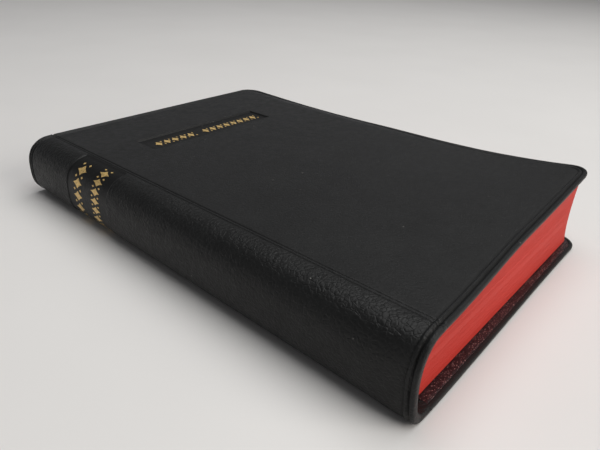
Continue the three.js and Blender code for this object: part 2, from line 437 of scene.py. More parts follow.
def trimmed_paper_finish():
    """Cream paper whose trimmed edges are stained red, streaked along the leaves."""
    finish = Finish("trimmed paper")
    x, y, z = finish.parts()
    red = tuple(colours().edge_red)
    leaf_lines = finish.noise(1, 3, 0.6, finish.stretched((60, 60, 9000)))
    streaked = finish.ramp(leaf_lines, ((0.25, tint(red, 0.84)), (0.75, tint(red, 1.05))))
    worn = finish.ramp(finish.noise(38, 3), ((0.3, tint(red, 0.9)), (0.75, tint(red, 1.04))))
    stained = finish.mix(0.45, streaked, worn)
    ratio = finish.maths("DIVIDE", finish.maths("SUBTRACT", z, MIDDLE_Z), BLOCK_HALF_HEIGHT)
    square = finish.maths("MULTIPLY", ratio, ratio)
    hollow = finish.maths("MULTIPLY", finish.maths("SUBTRACT", 1, square), BLOCK_ROUNDING)
    fore = finish.maths("SUBTRACT", BLOCK_FORE_X, hollow)
    stain_depth = 0.25 * MM
    at_fore = finish.maths("GREATER_THAN", x, finish.maths("SUBTRACT", fore, stain_depth))
    at_ends = finish.maths("GREATER_THAN", finish.maths("ABSOLUTE", y), BLOCK_HALF_LENGTH - stain_depth)
    at_edge = finish.maths("MAXIMUM", at_fore, at_ends)
    finish.feed("Base Color", finish.mix(at_edge, paper_colour(finish), stained))
    height = finish.noise(1, 2, 0.5, finish.stretched((40, 40, 7000)))
    finish.feed("Normal", finish.bump(height, 0.2, 0.05 * MM))
    finish.set("Roughness", 0.6)
    finish.set("Specular IOR Level", 0.3)
    return finish.material


def gilt_finish():
    """Gold foil blocked into the grain, thin in places."""
    finish = Finish("gold foil")
    gold = tuple(colours().gilt)
    worn = finish.ramp(finish.noise(1300, 4, 0.6), ((0.33, tint(gold, 0.5)), (0.5, gold)))
    finish.feed("Base Color", worn)
    finish.feed("Roughness", finish.remap(finish.noise(2400, 2), 0.3, 0.7, 0.3, 0.5))
    finish.set("Metallic", 0.55)
    finish.feed("Normal", finish.bump(finish.noise(1800, 3), 0.3, 0.04 * MM))
    return finish.material


def board_finish():
    """Grey-brown card with flecks."""
    finish = Finish("grey card")
    finish.feed("Base Color", finish.ramp(
        finish.noise(900, 5, 0.7), ((0.3, (0.20, 0.16, 0.11)), (0.7, (0.40, 0.33, 0.24)))))
    finish.feed("Normal", finish.bump(finish.noise(1500, 3), 0.4, 0.08 * MM))
    finish.set("Roughness", 0.95)
    return finish.material


def kraft_finish():
    """Brown kraft paper with long fibres."""
    finish = Finish("kraft paper")
    fibres = finish.noise(1, 4, 0.6, finish.stretched((2500, 500, 2500)))
    finish.feed("Base Color", finish.ramp(fibres, ((0.3, (0.30, 0.17, 0.07)), (0.7, (0.47, 0.30, 0.14)))))
    finish.feed("Normal", finish.bump(fibres, 0.3, 0.05 * MM))
    finish.set("Roughness", 0.9)
    return finish.material


def yarn_finish(name, light, dark, scale):
    """Twisted undyed yarn."""
    finish = Finish(name)
    strands = finish.noise(scale, 3, 0.6)
    finish.feed("Base Color", finish.ramp(strands, ((0.3, dark), (0.7, light))))
    finish.feed("Normal", finish.bump(strands, 0.6, 0.06 * MM))
    finish.set("Roughness", 0.9)
    finish.set("Sheen Weight", 0.2)
    return finish.material


def material(name):
    """A finish by name, made the first time it is asked for."""
    makers = {
        "panel vinyl": lambda: vinyl_finish("panel vinyl", 1500, 0.4),
        "spine vinyl": lambda: vinyl_finish("spine vinyl", 1100, 0.9),
        "glossy lining": lining_finish,
        "pasted paper": pasted_paper_finish,
        "trimmed paper": trimmed_paper_finish,
        "gold foil": gilt_finish,
        "grey card": board_finish,
        "kraft paper": kraft_finish,
        "mull yarn": lambda: yarn_finish("mull yarn", (0.74, 0.68, 0.56), (0.52, 0.46, 0.36), 2500),
        "linen yarn": lambda: yarn_finish("linen yarn", (0.80, 0.75, 0.63), (0.6, 0.54, 0.42), 4000),
    }
    return bpy.data.materials.get(name) or makers[name]()


# ---------------------------------------------------------------- covers


def face_z(side, depth):
    """Height of a place at a depth below a cover's outer face."""
    return BOOK_TOP - depth if side == FRONT else depth


def corner_lift(x, y):
    """How far the front cover's tail corner curls up."""
    along = max(0, (-20 * MM - y) / (70 * MM))
    across = max(0, (x + 30 * MM) / (95 * MM))
    return sizes().corner_lift * along ** 2.1 * across ** 1.6


def curled(side, x, y, z):
    """Where a flat place on a cover ends up: the front cover curls up and back at its tail corner,
    and sags a little where it overhangs the block."""
    if side == BACK:
        near_spine = 1 - smooth_step(JOINT_X, 40 * MM, x)
        return x, y - LOWER_TAIL_SHIFT * near_spine * smooth_step(TAIL_START, -HALF_LENGTH, y), z
    lift = corner_lift(x, y)
    over = max(0, (x - BLOCK_FORE_X + 1.5 * MM) / (7.5 * MM))
    sag = COVER_SAG * over ** 1.5 * bell(y - 40 * MM, 45 * MM)
    pull = COVER_TAIL_PULL * smooth_step(-60 * MM, 5 * MM, x) * max(0, (20 * MM - y) / (115 * MM)) ** 2
    return x - 0.2 * lift, y + pull, z + lift - sag


def joint_depth(x):
    """Two fine grooves with a ridge between them, along the joint."""
    first = 0.34 * MM * bell(x - JOINT_X + 0.9 * MM, 0.32 * MM)
    second = 0.30 * MM * bell(x - JOINT_X - 0.55 * MM, 0.32 * MM)
    ridge = -0.10 * MM * bell(x - JOINT_X + 0.17 * MM, 0.3 * MM)
    return first + second + ridge


def panel_share(x, y):
    """1 inside the pressed title panel, 0 outside."""
    reach_x = sizes().panel_length / 2 - abs(x)
    reach_y = sizes().panel_height / 2 - abs(y - sizes().panel_centre)
    ramp = 0.16 * MM
    return smooth_step(-ramp, ramp, min(reach_x, reach_y))


def panel_border(x, y):
    """1 along a line just inside the title panel's edge."""
    reach_x = sizes().panel_length / 2 - abs(x)
    reach_y = sizes().panel_height / 2 - abs(y - sizes().panel_centre)
    return bell(min(reach_x, reach_y) - 0.45 * MM, 0.25 * MM)


def face_depth(side, x, y):
    """Pressed work and slight unevenness of a cover's outer face."""
    depth = joint_depth(x)
    depth += uneven(x, y, side, 14 * MM, 0.05 * MM) + uneven(x, y, side, 4 * MM, 0.012 * MM)
    if side == FRONT:
        depth += sizes().panel_depth * panel_share(x, y) + 0.12 * MM * panel_border(x, y)
    return depth


class CoverGrid:
    """A cover's plan: straight columns and rows, with rounded corners at the fore edge."""

    def __init__(self, left, step, fine_x=(), fine_y=()):
        self.centre_x = FORE_X - CORNER_RADIUS
        self.centre_y = HALF_LENGTH - CORNER_RADIUS
        self.xs = stations(left, self.centre_x, step, fine_x)
        self.ys = stations(-self.centre_y, self.centre_y, step, fine_y)
        self.columns = len(self.xs) - 1 + CORNER_STEPS
        self.rows = len(self.ys) - 1 + 2 * CORNER_STEPS

    def point(self, column, row, inset):
        """Plan position of a grid point when the outline is inset."""
        radius = CORNER_RADIUS - inset
        straight = len(self.xs) - 1
        across = max(column - straight, 0) / CORNER_STEPS
        x = self.xs[min(column, straight)]
        end = 0
        if row < CORNER_STEPS:
            end = -(CORNER_STEPS - row) / CORNER_STEPS
        elif row > self.rows - CORNER_STEPS:
            end = (row - self.rows + CORNER_STEPS) / CORNER_STEPS
        if end == 0:
            return x + across * radius, self.ys[row - CORNER_STEPS]
        sign = math.copysign(1, end)
        end = abs(end)
        if across == 0:
            return x, sign * (self.centre_y + end * radius)
        reach = max(across, end) * radius
        quarter = math.pi / 4
        angle = quarter * end / across if across >= end else 2 * quarter - quarter * across / end
        return x + reach * math.cos(angle), sign * (self.centre_y + reach * math.sin(angle))

    def edge(self):
        """Grid places along tail, fore edge and head."""
        tail = [(column, 0) for column in range(self.columns)]
        fore = [(self.columns, row) for row in range(self.rows)]
        head = [(column, self.rows) for column in range(self.columns, -1, -1)]
        return tail + fore + head


def cover_shell(name, side, grid, rings, finish, depth_extra=None):
    """A closed sheet: the first ring bounds its outer face, the last ring its inner one."""
    edge = grid.edge()
    points = []
    flat = []

    def add(place, inset, depth, outer):
        x, y = grid.point(*place, inset)
        extra = depth_extra(side, x, y) if outer and depth_extra else 0
        points.append(curled(side, x, y, face_z(side, depth + extra)))
        flat.append((x, y))
        return len(points) - 1

    turn = next((k for k, (a, b) in enumerate(zip(rings, rings[1:])) if b[0] >= a[0]), len(rings) - 1)
    loops = [
        [add(place, inset * MM, depth * MM, index <= turn) for place in edge]
        for index, (inset, depth) in enumerate(rings)
    ]
    faces = []
    for near, far in zip(loops, loops[1:]):
        faces += [(near[k], near[k + 1], far[k + 1], far[k]) for k in range(len(edge) - 1)]
    sheets = []
    for loop, (inset, depth), outer in ((loops[0], rings[0], True), (loops[-1], rings[-1], False)):
        known = dict(zip(edge, loop))
        for row in range(grid.rows + 1):
            for column in range(grid.columns + 1):
                if (column, row) not in known:
                    known[column, row] = add((column, row), inset * MM, depth * MM, outer)
        for row in range(grid.rows):
            for column in range(grid.columns):
                faces.append((known[column, row], known[column + 1, row],
                              known[column + 1, row + 1], known[column, row + 1]))
        sheets.append([known[0, row] for row in range(grid.rows + 1)])
    faces += [(a, b, d, c) for a, b, c, d in zip(sheets[0], sheets[0][1:], sheets[1], sheets[1][1:])]
    faces.append([loop[0] for loop in loops])
    faces.append([loop[-1] for loop in loops])
    shell = finish_mesh(make_mesh_object(name, points, faces, finish))
    if side == FRONT and depth_extra:
        keep_pressed(shell, [panel_share(x, y) for x, y in flat])
    return shell


def blend_cover(obj):
    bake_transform(obj)


class BOOK_OT_cover_skins(bpy.types.Operator):
    """Make the grained vinyl of both covers, with its folded edge, joint grooves and title panel"""

    bl_idname = "book.cover_skins"
    bl_label = "Cover skins"

    def execute(self, context):
        left = JOINT_X - 0.9 * MM
        half_panel = sizes().panel_length / 2
        centre, half_height = sizes().panel_centre, sizes().panel_height / 2
        rings = FACE_EDGE[::-1] + COVER_RIM
        for side, label in SIDES:
            joint = [left + 0.8 * MM, JOINT_X + 0.6 * MM]
            fine_x = joint + ([-half_panel, half_panel] if side == FRONT else [])
            fine_y = [centre - half_height, centre + half_height] if side == FRONT else []
            grid = CoverGrid(left, 1.5 * MM, fine_x, fine_y)
            skin = cover_shell(f"{label}_cover_vinyl", side, grid, rings, material("panel vinyl"), face_depth)
            hand_over(skin, "cover_vinyl", f"{label}_cover_skin")
            blend_cover(skin)
        return {"FINISHED"}


class BOOK_OT_cover_linings(bpy.types.Operator):
    """Make the card board and the glossy lining inside each cover"""

    bl_idname = "book.cover_linings"
    bl_label = "Boards and linings"

    def execute(self, context):
        for side, label in SIDES:
            for part, edge, finish, slot, left in (
                ("board", BOARD_EDGE, "grey card", "board_card", COVER_LOW.x + 4.1 * MM),
                ("lining", LINING_EDGE, "glossy lining", "lining_vinyl", JOINT_X),
            ):
                grid = CoverGrid(left, 4 * MM, [JOINT_X + 0.6 * MM] if part == "lining" else [])
                sheet = cover_shell(f"{label}_{part}", side, grid, edge, material(finish))
                hand_over(sheet, slot, f"{label}_cover_{part}")
                if part == "board":
                    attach(sheet, f"{label}_cover")
                else:
                    blend_cover(sheet)
        return {"FINISHED"}


class BOOK_OT_endpapers(bpy.types.Operator):
    """Make both endpapers: the half pasted to the cover, and the free half on the block"""

    bl_idname = "book.endpapers"
    bl_label = "Endpapers"

    def execute(self, context):
        for side, label in SIDES:
            joint = [JOINT_X - 0.6 * MM, JOINT_X + 0.8 * MM]
            grid = CoverGrid(BLOCK_LOW.x + 0.2 * MM, 4 * MM, joint)
            pasted = cover_shell(f"{label}_endpaper_pasted", side, grid, PAPER_EDGE, material("pasted paper"))
            hand_over(pasted, "end_paper", f"{label}_pastedown")
            blend_cover(pasted)
            low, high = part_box(f"{label}_flyleaf")
            free = stack_of_leaves(
                f"{label}_endpaper_free", first=(low.z + high.z) / 2, pitch=0, count=1,
                thickness=(high.z - low.z) * 0.7, seed=3, finish=material("trimmed paper"))
            fan_leaves(free)
            hand_over(free, "end_paper", f"{label}_flyleaf")
            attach(free, f"{label}_block")
        return {"FINISHED"}


# ---------------------------------------------------------------- spine


def spine_place(angle, depth, y=0):
    """A place on the spine's section, at a depth below its outer face; angle runs from -90 to 90 degrees."""
    tail = smooth_step(TAIL_START, -HALF_LENGTH, y)
    reach = SPINE_HIGH.x - SPINE_LOW.x - depth - SPINE_TAIL_PINCH * tail
    rise = MIDDLE_Z - depth
    power = 2 / (SPINE_ROUNDNESS + (0.4 + tail if angle < 0 else 0))
    across = max(math.cos(angle), 0) ** power
    up = math.copysign(abs(math.sin(angle)) ** power, angle)
    return SPINE_HIGH.x - reach * across, MIDDLE_Z + rise * up


def spine_point(angle, depth, y):
    x, z = spine_place(angle, depth, y)
    lower = max(0, 1 - z / MIDDLE_Z)
    return x, y - LOWER_TAIL_SHIFT * lower * smooth_step(TAIL_START, -HALF_LENGTH, y), z


def even_angles(count):
    """Angles that cut the spine's section into equal lengths, and each one's distance from the middle."""
    fine = 2000
    angles = [math.pi * (k / fine - 0.5) for k in range(fine + 1)]
    places = [spine_place(a, 0) for a in angles]
    lengths = [0]
    for a, b in zip(places, places[1:]):
        lengths.append(lengths[-1] + math.dist(a, b))
    result = []
    k = 0
    for step in range(count + 1):
        target = lengths[-1] * step / count
        while k < fine - 1 and lengths[k + 1] < target:
            k += 1
        span = lengths[k + 1] - lengths[k]
        share = (target - lengths[k]) / span if span else 0
        result.append((angles[k] + (angles[k + 1] - angles[k]) * share, target - lengths[-1] / 2))
    return result


def spine_panel_share(y):
    ramp = 0.3 * MM
    low, high = sizes().spine_panel_tail, sizes().spine_panel_head
    return smooth_step(-ramp, ramp, min(y - low, high - y))


def crease(along, y):
    """Height of the coarse creased grain, 0 in the creases and 1 on the pebbles."""
    place = Vector((along / 1.8, y / 1.35, 0)) / MM
    place += 0.3 * noise.noise_vector(place * 0.7)
    near = noise.voronoi(place)[0]
    return smooth_step(0.0, 0.24, near[1] - near[0]) * (1.1 - 0.5 * near[0])


def spine_face_depth(along, y, half_arc):
    """Pressed panel, joint grooves and grain of the spine's outer face."""
    panel = spine_panel_share(y)
    to_joint = half_arc - abs(along)
    depth = 0.34 * MM * bell(to_joint, 0.35 * MM)
    depth += 0.3 * MM * panel * smooth_step(0.6 * MM, 2.2 * MM, to_joint)
    grain = sizes().grain_height * (1 - 0.8 * panel)
    grain *= smooth_step(0.5 * MM, 2.5 * MM, to_joint) * smooth_step(4 * MM, 7 * MM, HALF_LENGTH - abs(y))
    depth += grain * (0.5 - crease(along, y))
    return depth + uneven(along, y, 0, 9 * MM, 0.05 * MM)


def bent_sheet(name, points, count, finish):
    """A closed sheet from rows of points: in each row, count points on one face, then count on the other."""
    rows = len(points) // (2 * count) - 1
    loop = list(range(count)) + list(range(2 * count - 1, count - 1, -1))
    faces = []
    for row in range(rows):
        near, far = 2 * count * row, 2 * count * (row + 1)
        faces += [(near + a, near + b, far + b, far + a) for a, b in zip(loop, loop[1:] + loop[:1])]
    for base in (0, 2 * count * rows):
        faces += [(base + k, base + k + 1, base + count + k + 1, base + count + k) for k in range(count - 1)]
    return finish_mesh(make_mesh_object(name, points, faces, finish))


class BOOK_OT_spine_skin(bpy.types.Operator):
    """Make the vinyl over the spine, turned in at head and tail, with its creased grain and pressed panel"""

    bl_idname = "book.spine_skin"
    bl_label = "Spine skin"

    def execute(self, context):
        insets = sorted({place * MM for place, _ in FACE_EDGE + SPINE_RIM})
        ends = [-HALF_LENGTH + inset for inset in insets]
        panel_edges = [sizes().spine_panel_tail, sizes().spine_panel_head]
        middle = stations(ends[-1] + 0.5 * MM, -ends[-1] - 0.5 * MM, 0.5 * MM, panel_edges)
        ys = ends + middle + [-y for y in reversed(ends)]
        arc = even_angles(90)
        half_arc = arc[-1][1]
        points = []
        for angle, along in arc:
            for y in ys:
                inset = HALF_LENGTH - abs(y)
                depth = depth_at(FACE_EDGE, inset) + spine_face_depth(along, y, half_arc)
                points.append(spine_point(angle, depth, y))
            thinner = 1 - 0.33 * smooth_step(0.5 * half_arc, half_arc, abs(along))
            for y in ys:
                depth = max(1.3 * MM, thinner * depth_at(SPINE_RIM, HALF_LENGTH - abs(y)))
                points.append(spine_point(angle, depth, y))
        skin = bent_sheet("spine_vinyl", points, len(ys), material("spine vinyl"))
        keep_pressed(skin, [spine_panel_share(v.co.y) for v in skin.data.vertices])
        hand_over(skin, "cover_vinyl", "spine_skin_back_half", "spine_skin_front_half")
        blend_middle(skin)
        return {"FINISHED"}


def blend_middle(obj):
    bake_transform(obj)


def block_back_x(z):
    """The folds' place along the rounded back of the block."""
    ratio = (z - MIDDLE_Z) / BLOCK_HALF_HEIGHT
    return BLOCK_LOW.x - BLOCK_ROUNDING * (1 - ratio * ratio)


def back_strip(name, behind, thickness, half_height, half_length, finish):
    """A strip that hugs the rounded back of the block."""
    zs = stations(MIDDLE_Z - half_height, MIDDLE_Z + half_height, 1 * MM, [MIDDLE_Z], 0.4 * MM, 2 * MM)
    ys = stations(-half_length, half_length, 6 * MM)
    points = []
    for z in zs:
        for x in (block_back_x(z) - behind, block_back_x(z) - behind - thickness):
            points += [(x, y, z) for y in ys]
    return bent_sheet(name, points, len(ys), finish)


class BOOK_OT_spine_lining(bpy.types.Operator):
    """Make the kraft liner in the hollow of the spine and the woven mull over the folds"""

    bl_idname = "book.spine_lining"
    bl_label = "Spine liner and mull"

    def execute(self, context):
        low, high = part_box("spine_liner_back_half")
        half_height, half_length = MIDDLE_Z - low.z, high.y
        kraft = material("kraft paper")
        liner = back_strip("spine_liner", 1.25 * MM, 0.3 * MM, half_height, half_length, kraft)
        hand_over(liner, "liner_paper", "spine_liner_back_half", "spine_liner_front_half")
        blend_middle(liner)
        mull = woven_strip("spine_mull", 0.9 * MM, half_height, half_length)
        hand_over(mull, "mull_cloth", "spine_mull_back_half", "spine_mull_front_half")
        blend_middle(mull)
        return {"FINISHED"}


def tube(name, points, sides, finish):
    """A closed tube through rings of points, each ring with the same number of sides."""
    rows = len(points) // sides - 1
    faces = [list(range(sides)), list(range(rows * sides, (rows + 1) * sides))]
    for k in range(rows):
        for corner in range(sides):
            beside = (corner + 1) % sides
            faces.append((k * sides + corner, k * sides + beside,
                          (k + 1) * sides + beside, (k + 1) * sides + corner))
    return finish_mesh(make_mesh_object(name, points, faces, finish))


def yarn(name, length, pitch, radius, across):
    """One yarn of an open weave, wavy, along X or Y."""
    steps = max(2, round(length / pitch))
    sides = 4
    points = []
    for k in range(steps + 1):
        along = length * (k / steps - 0.5)
        rise = radius * math.cos(math.pi * k)
        for corner in range(sides):
            angle = 2 * math.pi * corner / sides
            aside, up = radius * math.cos(angle), radius * math.sin(angle) + rise
            points.append((along, aside, up) if across else (aside, along, up))
    return tube(name, points, sides, material("mull yarn"))


def woven_strip(name, behind, half_height, half_length):
    """Open-weave cloth: two rows of yarns, laid on the rounded back of the block."""
    pitch = 1.2 * MM
    radius = 0.09 * MM
    across = yarn("yarn_across", 2 * half_height, pitch, radius, True)
    along = yarn("yarn_along", 2 * half_length, pitch, radius, False)
    rows = round(2 * half_length / pitch)
    lines = round(2 * half_height / pitch)
    across = repeated(across, rows, (0, pitch, 0), (0, 0.15 * MM, 0), 5)
    along = repeated(along, lines, (pitch, 0, 0), (0.1 * MM, 0, 0), 6)
    cloth = joined(name, [across, along])
    for v in cloth.data.vertices:
        z = MIDDLE_Z + max(-half_height, min(half_height, v.co.x))
        v.co = (block_back_x(z) - behind + v.co.z, v.co.y, z)
    return finish_mesh(cloth)


# ---------------------------------------------------------------- repeated pieces


def new_tree(name, inputs):
    """A geometry node group with named inputs, and its input and output nodes."""
    tree = bpy.data.node_groups.new(name, "GeometryNodeTree")
    tree.interface.new_socket("Geometry", in_out="INPUT", socket_type="NodeSocketGeometry")
    for label, kind in inputs:
        tree.interface.new_socket(label, in_out="INPUT", socket_type=f"NodeSocket{kind}")
    tree.interface.new_socket("Geometry", in_out="OUTPUT", socket_type="NodeSocketGeometry")
    return tree, tree.nodes.new("NodeGroupInput").outputs, tree.nodes.new("NodeGroupOutput")


def random_vector(tree, reach, seed):
    """Random numbers from -reach to reach on each axis."""
    low = add_node(tree, "ShaderNodeVectorMath", (0, reach), (1, (-1, -1, -1)), operation="MULTIPLY")
    return add_node(tree, "FunctionNodeRandomValue", ("Min", low), ("Max", reach), ("Seed", seed),
                    data_type="FLOAT_VECTOR").outputs[0]


def placed_copies(tree, given, result, points, instance):
    """End a node group: copies on the points, made real and given the material."""
    placed = add_node(tree, "GeometryNodeInstanceOnPoints", ("Points", points), ("Instance", instance))
    real = add_node(tree, "GeometryNodeRealizeInstances", ("Geometry", placed))
    painted = add_node(tree, "GeometryNodeSetMaterial", ("Geometry", real),
                       ("Material", given["Material"]))
    tree.links.new(painted.outputs[0], result.inputs[0])
    return tree


def copies_tree():
    """Copies of the object's own mesh in a row, centred on the origin, each a little out of place."""
    existing = bpy.data.node_groups.get("row_of_copies")
    if existing:
        return existing
    tree, given, result = new_tree("row_of_copies", (
        ("Count", "Int"), ("Step", "Vector"), ("Uneven", "Vector"), ("Seed", "Int"),
        ("Material", "Material")))
    last = add_node(tree, "ShaderNodeMath", (0, given["Count"]), (1, 1.0), operation="SUBTRACT")
    half = add_node(tree, "ShaderNodeMath", (0, last), (1, -0.5), operation="MULTIPLY")
    start = add_node(tree, "ShaderNodeVectorMath", (0, given["Step"]), ("Scale", half),
                     operation="SCALE")
    line = add_node(tree, "GeometryNodeMeshLine", ("Count", given["Count"]),
                    ("Start Location", start), ("Offset", given["Step"]))
    shifted = add_node(tree, "GeometryNodeSetPosition", ("Geometry", line),
                       ("Offset", random_vector(tree, given["Uneven"], given["Seed"])))
    return placed_copies(tree, given, result, shifted, given["Geometry"])


def leaves_tree():
    """A stack of flat leaves that follows the hollow fore edge of the block."""
    existing = bpy.data.node_groups.get("stack_of_leaves")
    if existing:
        return existing
    tree, given, result = new_tree("stack_of_leaves", (
        ("Count", "Int"), ("First height", "Float"), ("Pitch", "Float"), ("Leaf size", "Vector"),
        ("Fore edge", "Float"), ("Rounding", "Float"), ("Middle height", "Float"), ("Half height", "Float"),
        ("Uneven", "Vector"), ("Seed", "Int"), ("Material", "Material")))
    start = add_node(tree, "ShaderNodeCombineXYZ", ("Z", given["First height"]))
    step = add_node(tree, "ShaderNodeCombineXYZ", ("Z", given["Pitch"]))
    line = add_node(tree, "GeometryNodeMeshLine", ("Count", given["Count"]),
                    ("Start Location", start), ("Offset", step))
    place = add_node(tree, "GeometryNodeInputPosition")
    height = add_node(tree, "ShaderNodeSeparateXYZ", (0, place))

    def maths(operation, first, second):
        return add_node(tree, "ShaderNodeMath", (0, first), (1, second), operation=operation).outputs[0]

    ratio = maths("DIVIDE", maths("SUBTRACT", height.outputs["Z"], given["Middle height"]),
                  given["Half height"])
    inward = maths("SUBTRACT", 1.0, maths("MULTIPLY", ratio, ratio))
    hollow = maths("MULTIPLY", inward, given["Rounding"])
    width = add_node(tree, "ShaderNodeSeparateXYZ", (0, given["Leaf size"]))
    centre = maths("SUBTRACT", maths("SUBTRACT", given["Fore edge"], hollow),
                   maths("MULTIPLY", width.outputs["X"], 0.5))
    aside = add_node(tree, "ShaderNodeCombineXYZ", ("X", centre))
    jitter = random_vector(tree, given["Uneven"], given["Seed"])
    offset = add_node(tree, "ShaderNodeVectorMath", (0, aside), (1, jitter), operation="ADD")
    shifted = add_node(tree, "GeometryNodeSetPosition", ("Geometry", line),
                       ("Offset", offset))
    leaf = add_node(tree, "GeometryNodeMeshCube", ("Size", given["Leaf size"]),
                    ("Vertices X", 14), ("Vertices Y", 16))
    return placed_copies(tree, given, result, shifted, leaf.outputs["Mesh"])


def grown(obj, tree, values, finish):
    """The object's mesh after the node group has run on it, as a plain mesh."""
    modifier = obj.modifiers.new("made", "NODES")
    modifier.node_group = tree
    known = {item.name: item.identifier for item in tree.interface.items_tree if item.in_out == "INPUT"}
    for label, value in {**values, "Material": finish}.items():
        modifier[known[label]] = value
    shown = obj.evaluated_get(bpy.context.evaluated_depsgraph_get())
    mesh = bpy.data.meshes.new_from_object(shown)
    obj.modifiers.remove(modifier)
    obj.data = mesh
    mesh.name = obj.name
    if not mesh.materials:
        mesh.materials.append(finish)
    return obj


def repeated(obj, count, step, uneven_by, seed):
    return grown(obj, copies_tree(), {"Count": count, "Step": step, "Uneven": uneven_by, "Seed": seed},
                 obj.data.materials[0])


def joined(name, objects):
    """Several objects' meshes as one object."""
    points, faces = [], []
    for obj in objects:
        base = len(points)
        points += [tuple(v.co) for v in obj.data.vertices]
        faces += [[base + k for k in face.vertices] for face in obj.data.polygons]
    finish = objects[0].data.materials[0]
    for obj in objects:
        bpy.data.objects.remove(obj)
    return make_mesh_object(name, points, faces, finish)


def stack_of_leaves(name, first, pitch, count, thickness, seed, finish):
    seed_mesh = make_mesh_object(name, [(0, 0, 0)], [], finish)
    stack = grown(seed_mesh, leaves_tree(), {
        "Count": count, "First height": first, "Pitch": pitch,
        "Leaf size": (LEAF_WIDTH, 2 * BLOCK_HALF_LENGTH, thickness),
        "Fore edge": BLOCK_FORE_X, "Rounding": BLOCK_ROUNDING,
        "Middle height": MIDDLE_Z, "Half height": BLOCK_HALF_HEIGHT,
        "Uneven": (0.03 * MM, 0.03 * MM, 0.0), "Seed": seed}, finish)
    return finish_mesh(stack)


class BOOK_OT_sections(bpy.types.Operator):
    """Make the folded sections of the book block as stacks of leaves with stained edges"""

    bl_idname = "book.sections"
    bl_label = "Sections"

    def execute(self, context):
        leaves = sizes().leaves_per_section
        names = sorted(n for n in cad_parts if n.startswith("section_"))
        for index, node in enumerate(names):
            low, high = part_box(node)
            pitch = (high.z - low.z) / leaves
            section = stack_of_leaves(f"leaves_of_{node}", low.z + pitch / 2, pitch, leaves, pitch * 0.94,
                                      index, material("trimmed paper"))
            fan_leaves(section)
            hand_over(section, "edged_paper", node)
            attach(section, "back_block" if high.z < MIDDLE_Z else "front_block")
        return {"FINISHED"}


def thin_sheet(name, low, high, columns, rows, finish):
    """A flat closed sheet with enough columns to bend."""
    xs = [low.x + (high.x - low.x) * k / columns for k in range(columns + 1)]
    ys = [low.y + (high.y - low.y) * k / rows for k in range(rows + 1)]
    points = [(x, y, z) for z in (low.z, high.z) for x in xs for y in ys]
    layer = len(xs) * len(ys)
    faces = []
    for base in (0, layer):
        for i in range(columns):
            for j in range(rows):
                k = base + i * len(ys) + j
                faces.append((k, k + 1, k + len(ys) + 1, k + len(ys)))
    rim = [i * len(ys) for i in range(columns)]
    rim += [columns * len(ys) + j for j in range(rows)]
    rim += [i * len(ys) + rows for i in range(columns, 0, -1)]
    rim += list(range(rows, 0, -1))
    faces += [(a, b, b + layer, a + layer) for a, b in zip(rim, rim[1:] + rim[:1])]
    return finish_mesh(make_mesh_object(name, points, faces, finish))


class BOOK_OT_centre_leaves(bpy.types.Operator):
    """Make the two leaves at the middle opening, as thin sheets that rise and draw back with the leaves
    around them
    """

    bl_idname = "book.centre_leaves"
    bl_label = "Centre leaves"

    def execute(self, context):
        thicker = 0.03 * MM
        for _, label in SIDES:
            low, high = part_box(f"{label}_centre_leaf")
            low.z, high.z = low.z - thicker, high.z + thicker
            leaf = thin_sheet(f"{label}_centre_page", low, high, 120, 12, material("trimmed paper"))
            fan_leaves(leaf)
            hand_over(leaf, "edged_paper", f"{label}_centre_leaf")
            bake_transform(leaf)
        return {"FINISHED"}


class BOOK_OT_sewing(bpy.types.Operator):
    """Make the linking stitches that run up the folds at each sewing station"""

    bl_idname = "book.sewing"
    bl_label = "Sewing"

    def execute(self, context):
        stitches_each_way = 11
        radius = 0.22 * MM
        sides = 8
        for index in range(1, 6):
            low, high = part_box(f"sewing_thread_back_{index}")
            y = (low.y + high.y) / 2
            half_height = MIDDLE_Z - low.z
            steps = 4 * stitches_each_way
            points = []
            for k in range(-steps, steps + 1):
                z = MIDDLE_Z + half_height * k / steps
                swing = math.sin(math.pi * k / 2)
                centre = Vector((block_back_x(z) - 0.4 * MM - 0.05 * MM * swing, y + 0.12 * MM * swing, z))
                for corner in range(sides):
                    angle = 2 * math.pi * corner / sides
                    points.append(centre + Vector((radius * math.cos(angle), radius * math.sin(angle), 0)))
            thread = tube(f"sewing_thread_{index}", points, sides, material("linen yarn"))
            hand_over(thread, "linen_thread", f"sewing_thread_back_{index}", f"sewing_thread_front_{index}")
            blend_middle(thread)
        return {"FINISHED"}


# ---------------------------------------------------------------- gilt work


def foil_ring(name, outer, inner, thickness=0.06 * MM):
    """A thin raised foil ring between two outlines with the same number of points."""
    count = len(outer)
    points = [(x, y, z) for z in (0, thickness) for outline in (outer, inner) for x, y in outline]
    faces = []
    for k in range(count):
        step = (k + 1) % count - k
        low_out, low_in, top_out, top_in = k, count + k, 2 * count + k, 3 * count + k
        for a, b in ((low_out, low_in), (top_out, top_in), (low_out, top_out), (low_in, top_in)):
            faces.append((a, a + step, b + step, b))
    return finish_mesh(make_mesh_object(name, points, faces, material("gold foil")))


def lozenge(width, height, hollow=0.18, steps=6):
    """A lozenge with slightly hollow sides."""
    corners = ((width / 2, 0), (0, height / 2), (-width / 2, 0), (0, -height / 2))
    outline = []
    for (x0, y0), (x1, y1) in zip(corners, corners[1:] + corners[:1]):
        for k in range(steps):
            t = k / steps
            pull = 1 - hollow * math.sin(math.pi * t)
            outline.append(((x0 + (x1 - x0) * t) * pull, (y0 + (y1 - y0) * t) * pull))
    return outline


def shifted(outline, x, y):
    return [(a + x, b + y) for a, b in outline]


